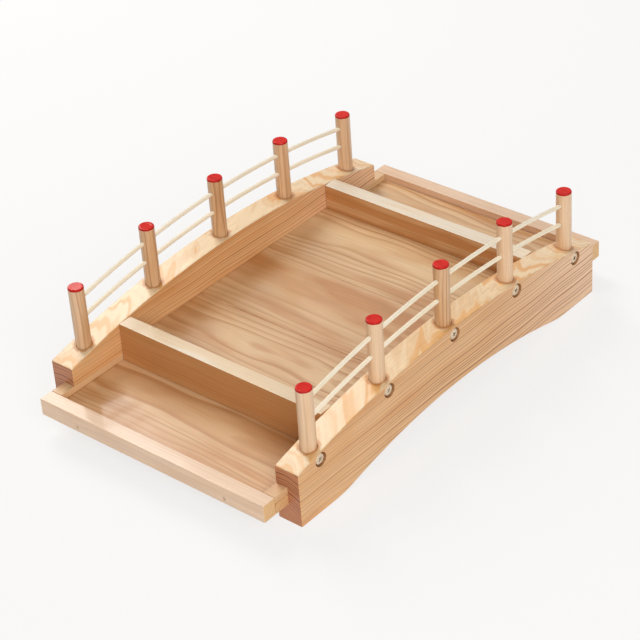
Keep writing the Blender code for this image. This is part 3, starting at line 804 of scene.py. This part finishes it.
def archedRodTree():
    tree, given = newTree("archedRod", {
        "Half Length": "NodeSocketFloat", "Arch Radius": "NodeSocketFloat", "Crown": "NodeSocketFloat",
        "Across": "NodeSocketFloat", "Rod Radius": "NodeSocketFloat", "Uneven": "NodeSocketFloat",
        "Seed": "NodeSocketFloat", "Material": "NodeSocketMaterial"})
    minus = addNode(tree, "ShaderNodeMath", {0: given["Half Length"], 1: -1.0}, operation="MULTIPLY")
    start = addNode(tree, "ShaderNodeCombineXYZ", {"X": minus.outputs[0]})
    stop = addNode(tree, "ShaderNodeCombineXYZ", {"X": given["Half Length"]})
    line = addNode(tree, "GeometryNodeCurvePrimitiveLine", {
        "Start": start.outputs[0], "End": stop.outputs[0]})
    even = addNode(tree, "GeometryNodeResampleCurve", {
        "Curve": line.outputs[0], "Count": rods["points"]})

    # height on the arch
    place = addNode(tree, "GeometryNodeInputPosition")
    parts = addNode(tree, "ShaderNodeSeparateXYZ", {0: place.outputs[0]})
    xSquare = addNode(tree, "ShaderNodeMath", {
        0: parts.outputs["X"], 1: parts.outputs["X"]}, operation="MULTIPLY")
    rSquare = addNode(tree, "ShaderNodeMath", {
        0: given["Arch Radius"], 1: given["Arch Radius"]}, operation="MULTIPLY")
    left = addNode(tree, "ShaderNodeMath", {
        0: rSquare.outputs[0], 1: xSquare.outputs[0]}, operation="SUBTRACT")
    root = addNode(tree, "ShaderNodeMath", {0: left.outputs[0]}, operation="SQRT")
    drop = addNode(tree, "ShaderNodeMath", {
        0: root.outputs[0], 1: given["Arch Radius"]}, operation="SUBTRACT")
    height = addNode(tree, "ShaderNodeMath", {0: given["Crown"], 1: drop.outputs[0]}, operation="ADD")
    target = addNode(tree, "ShaderNodeCombineXYZ", {
        "X": parts.outputs["X"], "Y": given["Across"], "Z": height.outputs[0]})
    arch = addNode(tree, "GeometryNodeSetPosition", {
        "Geometry": even.outputs[0], "Position": target.outputs[0]})

    # uneven thickness
    wander = addNode(tree, "ShaderNodeTexNoise", {
        "Vector": place.outputs[0], "W": given["Seed"], "Scale": 1 / rods["unevenLength"], "Detail": 1.0},
        noise_dimensions="4D")
    least = addNode(tree, "ShaderNodeMath", {0: 1.0, 1: given["Uneven"]}, operation="SUBTRACT")
    swell = addNode(tree, "ShaderNodeMapRange", {
        "Value": wander.outputs[0], "To Min": least.outputs[0], "To Max": 1.0})
    sized = addNode(tree, "GeometryNodeSetCurveRadius", {
        "Curve": arch.outputs[0], "Radius": swell.outputs[0]})

    # sweep, with each point's place along and around the rod kept for the bamboo
    length = addNode(tree, "GeometryNodeSplineParameter")
    marked = addNode(tree, "GeometryNodeStoreNamedAttribute", {
        "Geometry": sized.outputs[0], "Name": "along", "Value": length.outputs["Length"]},
        data_type="FLOAT", domain="POINT")
    circle = addNode(tree, "GeometryNodeCurvePrimitiveCircle", {
        "Resolution": rods["sides"], "Radius": given["Rod Radius"]}, mode="RADIUS")
    rim = addNode(tree, "GeometryNodeInputPosition")
    ringed = addNode(tree, "GeometryNodeStoreNamedAttribute", {
        "Geometry": circle.outputs[0], "Name": "around", "Value": rim.outputs[0]},
        data_type="FLOAT_VECTOR", domain="POINT")
    swept = addNode(tree, "GeometryNodeCurveToMesh", {
        "Curve": marked.outputs[0], "Profile Curve": ringed.outputs[0], "Fill Caps": True})
    along = addNode(tree, "GeometryNodeInputNamedAttribute", {"Name": "along"}, data_type="FLOAT")
    around = addNode(tree, "GeometryNodeInputNamedAttribute", {"Name": "around"}, data_type="FLOAT_VECTOR")
    rimParts = addNode(tree, "ShaderNodeSeparateXYZ", {0: around.outputs[0]})
    strand = addNode(tree, "ShaderNodeCombineXYZ", {
        "X": along.outputs[0], "Y": rimParts.outputs["X"], "Z": rimParts.outputs["Y"]})
    strandMm = addNode(tree, "ShaderNodeVectorMath", {
        0: strand.outputs[0], "Scale": 1 / mm}, operation="SCALE")
    moved = addNode(tree, "ShaderNodeVectorMath", {
        0: strandMm.outputs[0], 1: given["Seed"]}, operation="ADD")
    named = addNode(tree, "GeometryNodeStoreNamedAttribute", {
        "Geometry": swept.outputs[0], "Name": "strand", "Value": moved.outputs[0]},
        data_type="FLOAT_VECTOR", domain="POINT")
    smooth = addNode(tree, "GeometryNodeSetShadeSmooth", {"Geometry": named.outputs[0]})
    real = addNode(tree, "GeometryNodeRealizeInstances", {"Geometry": smooth.outputs[0]})
    dressed = addNode(tree, "GeometryNodeSetMaterial", {
        "Geometry": real.outputs[0], "Material": given["Material"]})
    addNode(tree, "NodeGroupOutput", {0: dressed.outputs[0]})
    return tree


rodTree = archedRodTree()


def makeRod(side, level, seed):
    node = f"{side}_{level}_rod"
    low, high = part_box(node)
    thick = (high.y - low.y) / 2
    piece = addObject(f"{side}{level.capitalize()}Rod", bpy.data.meshes.new("rod"))
    useTree(piece, rodTree, {
        "Half Length": (high.x - low.x) / 2 - rods["endGap"], "Arch Radius": archRadius,
        "Crown": high.z - thick, "Across": (low.y + high.y) / 2, "Rod Radius": thick,
        "Uneven": rods["uneven"], "Seed": seed, "Material": bambooSkin})
    plainMesh(piece)
    finishPiece(piece, "bamboo", node)
    return piece


rodPieces = {key: makeRod(*key, seed) for key, seed in rods["seeds"].items()}
print("rods swept")


# Posts: turned dowels, tops brushed with red that pools inside the edge and creeps a little over it

posts = {
    "sides": 48,
    "edgeRadius": 1.0 * mm,
    "edgeSteps": 5,
    "dish": 0.12 * mm,
    "dishShape": ((0.0, 1.0), (0.4, 0.95), (0.65, 0.6)),    # share of the radius, share of the dish
    "paintStart": 0.1 * mm,         # below the rounded edge
    "paintLeast": 0.2 * mm,
    "paintMost": 0.9 * mm,
    "paintWave": 3 * mm,
    "holeGap": 0.3 * mm,
    "sharpAngle": math.radians(50),
    "seeds": {"near": 5, "far": 8},
    # the far posts' higher tones make them darker and more striped: partly real grain, partly painted shade
    # of their unlit side
    "tones": {"near": (0.15, 0.1, 0.8, -0.2, 0.05), "far": (0.5, 0.6, 0.75, 0.5, 0.5)},
    "hearts": {"near": ((30, 12), (22, -25), (14, 20), (-34, 8), (26, 22)),      # mm from the post's axis
               "far": ((18, 24), (-28, 14), (24, -16), (33, 9), (-20, 21))},
    "heartStep": 130,               # mm along the grain from one post's wood to the next
}


def postModel():
    top = midPostHigh.z - crownHeight
    foot = top - postLength
    edge, steps = posts["edgeRadius"], posts["edgeSteps"]
    dished = [(postRadius * share, top - posts["dish"] * depth) for share, depth in posts["dishShape"]]
    turns = [math.pi / 2 * i / steps for i in range(steps + 1)]
    rounded = [(postRadius - edge + edge * math.sin(t), top - edge + edge * math.cos(t)) for t in turns]
    paintEdge = top - edge - posts["paintStart"]
    profile = [*dished, *rounded, (postRadius, paintEdge), (postRadius, foot), (0, foot)]
    mesh = turnedSolid("post", profile, posts["sides"], posts["sharpAngle"])
    for vert in mesh.vertices:
        if abs(vert.co.z - paintEdge) < weldDistance and vert.co.to_2d().length > postRadius / 2:
            swing = noise.noise(Vector((vert.co.x, vert.co.y, 0)) / posts["paintWave"]) * 0.5 + 0.5
            vert.co.z -= posts["paintLeast"] + (posts["paintMost"] - posts["paintLeast"]) * swing
    lowest = paintEdge - posts["paintMost"] * 2
    markPainted(mesh, lambda face: all(mesh.vertices[i].co.z > lowest for i in face.vertices))
    return mesh


def holeTool(rodPiece):
    # the rod, fattened by the drill's clearance
    bm = bmesh.new()
    bm.from_mesh(rodPiece.data)
    bmesh.ops.recalc_face_normals(bm, faces=bm.faces)
    for vert in bm.verts:
        vert.normal_update()
    moves = [vert.normal * posts["holeGap"] for vert in bm.verts]
    for vert, move in zip(bm.verts, moves):
        vert.co += move
    return hiddenModel(meshFrom(bm, rodPiece.name + "Hole"))


def makePosts():
    model = hiddenModel(postModel())
    for side in ("near", "far"):
        places, hearts = [], []
        for number, (across, deep) in zip(postNumbers, posts["hearts"][side]):
            x, y = boxMiddle(f"{side}_post_{number}")[:2]
            places.append((x, y, archTop(x)))
            hearts.append((posts["heartStep"] * number, across - y / mm, deep + x / mm))
        piece = setCopies(f"{side}Posts", model, places, (0.0, 0.0, 1.0), {
            "Seed": posts["seeds"][side], "Material": dowelWood, "Top Material": redPaint})
        cutWith(piece, *(holeTool(rodPieces[side, level]) for level in ("upper", "lower")))
        piece.data.set_sharp_from_angle(angle=posts["sharpAngle"])
        owners = [round((vert.co.x - places[0][0]) / postPitch) for vert in piece.data.vertices]
        markPoints(piece.data, "heart", [hearts[owner] for owner in owners])
        markPoints(piece.data, "tone", [posts["tones"][side][owner] for owner in owners])
        finishPiece(piece, "dowel", *(f"{side}_post_{number}" for number in postNumbers))
    bpy.data.objects.remove(model)


makePosts()
print("posts turned")


# Screws: pan heads with a cross recess, sunk in the beams' counterbores

screws = {
    "sides": 40,
    "sharpAngle": math.radians(35),
    "head": 4.7 * mm,
    "headThickness": 1.9 * mm,
    # share of the head, and mm below its top
    "dome": ((0.0, 0.0), (0.5, 0.04), (0.76, 0.16), (0.9, 0.4), (0.97, 0.75), (1.0, 1.15)),
    "shank": 0.45,                  # of the head
    "pitch": 1.3 * mm,
    "threadRoot": 0.78,             # of the shank
    "threadFlank": 0.3,             # of the pitch
    "point": 3 * mm,
    "pointRoot": 0.7,               # of the shank
    "recess": 2.3 * mm,
    "recessWidth": 1.1 * mm,
    "recessDepth": 1.4 * mm,
    "recessTaper": (0.35, 0.7),     # of its length and width, left at the bottom
    "recessFrom": 0.06 * mm,        # a face near the axis lies in the recess from this depth on
    "seeds": {"near": 11, "far": 12},
}


def screwModel():
    low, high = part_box("near_post_screw_1")
    length = high.y - low.y
    head, pitch = screws["head"], screws["pitch"]
    shank = head * screws["shank"]
    root, flank = shank * screws["threadRoot"], pitch * screws["threadFlank"]
    under = -screws["headThickness"]
    point = -length + screws["point"]
    profile = [(head * share, -down * mm) for share, down in screws["dome"]]
    profile += [(head, under), (shank, under)]
    z = under - pitch
    while z > point:        # thread drawn as shallow rings
        profile += [(root, z + flank), (shank, z), (root, z - flank)]
        z -= pitch
    profile += [(shank * screws["pointRoot"], point), (0, -length)]
    return turnedSolid("screw", profile, screws["sides"], screws["sharpAngle"])


def crossTool():
    # tapered cross that sinks the drive recess
    shorter, narrower = screws["recessTaper"]
    bm = bmesh.new()
    for turn in (0, math.pi / 2):
        made = bmesh.ops.create_cube(bm, size=1.0)["verts"]
        for vert in made:
            deep = vert.co.z < 0
            vert.co.x *= 2 * screws["recess"] * (shorter if deep else 1.0)
            vert.co.y *= screws["recessWidth"] * (narrower if deep else 1.0)
            vert.co.z = -screws["recessDepth"] if deep else cutOver
        bmesh.ops.rotate(bm, verts=made, cent=(0, 0, 0), matrix=Matrix.Rotation(turn, 3, "Z"))
    return hiddenModel(meshFrom(bm, "crossTool"))


def inRecess(face):
    sunk = -face.center.z
    deepest = screws["recessDepth"] + weldDistance
    return face.center.to_2d().length < screws["recess"] and screws["recessFrom"] < sunk < deepest


def makeScrews():
    model = hiddenModel(screwModel())
    cutWith(model, crossTool())
    # the recess faces take the darker steel: painted shade
    markPainted(model.data, inRecess)
    for side in ("near", "far"):
        places = screwPlaces(side, outerFace(f"{side}_post_screw_1", side, 1))
        piece = setCopies(f"{side}PostScrews", model, places, (0.0, outward[side], 0.0), {
            "Seed": screws["seeds"][side], "Material": screwZinc, "Top Material": recessSteelPaintedShade})
        plainMesh(piece)
        finishPiece(piece, "screw_steel", *(f"{side}_post_screw_{number}" for number in postNumbers))
    bpy.data.objects.remove(model)


makeScrews()


# Nails: flat wire heads, hammered just below the lip's face

nails = {
    "sides": 20,
    "sharpAngle": math.radians(40),
    "face": ((0.0, 0.08), (0.55, 0.05), (0.9, 0.0), (1.0, 0.15)),       # share of the head, mm below its top
    "headThickness": 0.7 * mm,
    "collar": 0.1 * mm,
    "shank": 0.62,                  # of the head
    "point": 2 * mm,
    "seeds": {"front": 21, "rear": 22},
}


def nailModel():
    low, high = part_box("front_lip_nail_near")
    length = high.x - low.x
    head = (high.z - low.z) / 2
    shank = head * nails["shank"]
    under = -nails["headThickness"]
    profile = [(head * share, -down * mm) for share, down in nails["face"]]
    profile += [(head, under), (shank, under - nails["collar"]), (shank, -length + nails["point"]),
                (0, -length)]
    return turnedSolid("nail", profile, nails["sides"], nails["sharpAngle"])


def makeNails():
    model = hiddenModel(nailModel())
    for end in ("front", "rear"):
        nodes = [f"{end}_lip_nail_near", f"{end}_lip_nail_far"]
        places = [(outerFace(node, end, 0), *boxMiddle(node)[1:]) for node in nodes]
        piece = setCopies(f"{end}LipNails", model, places, (outward[end], 0.0, 0.0), {
            "Seed": nails["seeds"][end], "Material": nailSteel})
        plainMesh(piece)
        finishPiece(piece, "nail_steel", *nodes)
    bpy.data.objects.remove(model)


makeNails()
print("screws and nails set")


# Stage: pale floor, white surroundings, two soft boxes

stage = {
    "floorHalf": 4.0,
    "floorDrop": 0.2 * mm,
    "floorColour": "F4F3F0",
    "floorLift": 0.74,              # how far the eye sees the floor as white
    "worldStrength": 0.27,
    "aim": (0, 0, 0.04),
}

softBoxes = {
    "backSoftBox": {"place": (0.539, 1.334, 1.389), "size": (0.85, 1.3), "power": 22.5, "colour": "FFFBF4"},
    "frontSoftBox": {
        "place": (-1.2, -1.725, 1.255), "size": (1.65, 1.275), "power": 33.75, "colour": "FFFDFA"},
}


def eyeRays(tree):
    # 1 where the eye meets the surroundings, straight on or by way of gloss or glass
    path = addNode(tree, "ShaderNodeLightPath")
    seen = addNode(tree, "ShaderNodeMath", {
        0: path.outputs["Is Camera Ray"], 1: path.outputs["Is Glossy Ray"]}, operation="ADD")
    through = addNode(tree, "ShaderNodeMath", {
        0: seen.outputs[0], 1: path.outputs["Is Transmission Ray"]}, operation="ADD", use_clamp=True)
    return through.outputs[0]


def paleFloor():
    # white paper: matt, lifted to near white for the eye so that only the shadow is left
    material, tree = newMaterial("whitePaper")
    lifted = addNode(tree, "ShaderNodeMath", {
        0: eyeRays(tree), 1: stage["floorLift"]}, operation="MULTIPLY")
    matt = addNode(tree, "ShaderNodeBsdfDiffuse", {"Color": hexColour(stage["floorColour"])})
    glow = addNode(tree, "ShaderNodeEmission", {"Color": (1, 1, 1, 1), "Strength": 1.0})
    mixed = addNode(tree, "ShaderNodeMixShader", {
        0: lifted.outputs[0], 1: matt.outputs[0], 2: glow.outputs[0]})
    addNode(tree, "ShaderNodeOutputMaterial", {"Surface": mixed.outputs[0]})
    return material


def makeFloor():
    half, low = stage["floorHalf"], -stage["floorDrop"]
    corners = [(-half, -half, low), (half, -half, low), (half, half, low), (-half, half, low)]
    mesh = bpy.data.meshes.new("floor")
    mesh.from_pydata(corners, [], [(0, 1, 2, 3)])
    mesh.materials.append(paleFloor())
    floor = addObject("floor", mesh)


def makeWorld():
    world = bpy.data.worlds.new("whiteRoom")
    bpy.context.scene.world = world
    world.use_nodes = True
    tree = world.node_tree
    tree.nodes.clear()
    level = addNode(tree, "ShaderNodeMapRange", {
        "Value": eyeRays(tree), "To Min": stage["worldStrength"], "To Max": 1.0})
    sky = addNode(tree, "ShaderNodeBackground", {"Color": (1, 1, 1, 1), "Strength": level.outputs[0]})
    addNode(tree, "ShaderNodeOutputWorld", {"Surface": sky.outputs[0]})


def addSoftBox(name, box):
    light = bpy.data.lights.new(name, "AREA")
    light.shape = "RECTANGLE"
    light.size, light.size_y = box["size"]
    light.energy = box["power"]
    light.color = hexColour(box["colour"])[:3]
    lamp = addObject(name, light)
    lamp.location = box["place"]
    lamp.rotation_euler = (Vector(stage["aim"]) - lamp.location).to_track_quat("-Z", "Y").to_euler()


makeFloor()
makeWorld()
for name, box in softBoxes.items():
    addSoftBox(name, box)


# Camera: the photograph's place and lens, angles in degrees and lens in mm

camera = {
    "place": (-1.067342, -0.953689, 0.997807),
    "azimuth": -47.884,
    "elevation": 34.103,
    "roll": -4.325,
    "lens": 123.588,
    "sensor": 36.0,
}


def makeCamera():
    azimuth, elevation, roll = (math.radians(camera[key]) for key in ("azimuth", "elevation", "roll"))
    back = Vector((math.sin(azimuth) * math.cos(elevation), -math.cos(azimuth) * math.cos(elevation),
                   math.sin(elevation)))
    right = Vector((math.cos(azimuth), math.sin(azimuth), 0))
    up = back.cross(right)
    turned = Matrix((right, up, back)).transposed() @ Matrix.Rotation(roll, 3, "Z")
    data = bpy.data.cameras.new("photoCamera")
    data.lens = camera["lens"]
    data.sensor_width = camera["sensor"]
    viewer = addObject("photoCamera", data)
    viewer.matrix_world = Matrix.Translation(camera["place"]) @ turned.to_4x4()
    bpy.context.scene.camera = viewer


makeCamera()
bpy.context.scene.view_settings.view_transform = "Standard"
print("stage, lights and camera set")
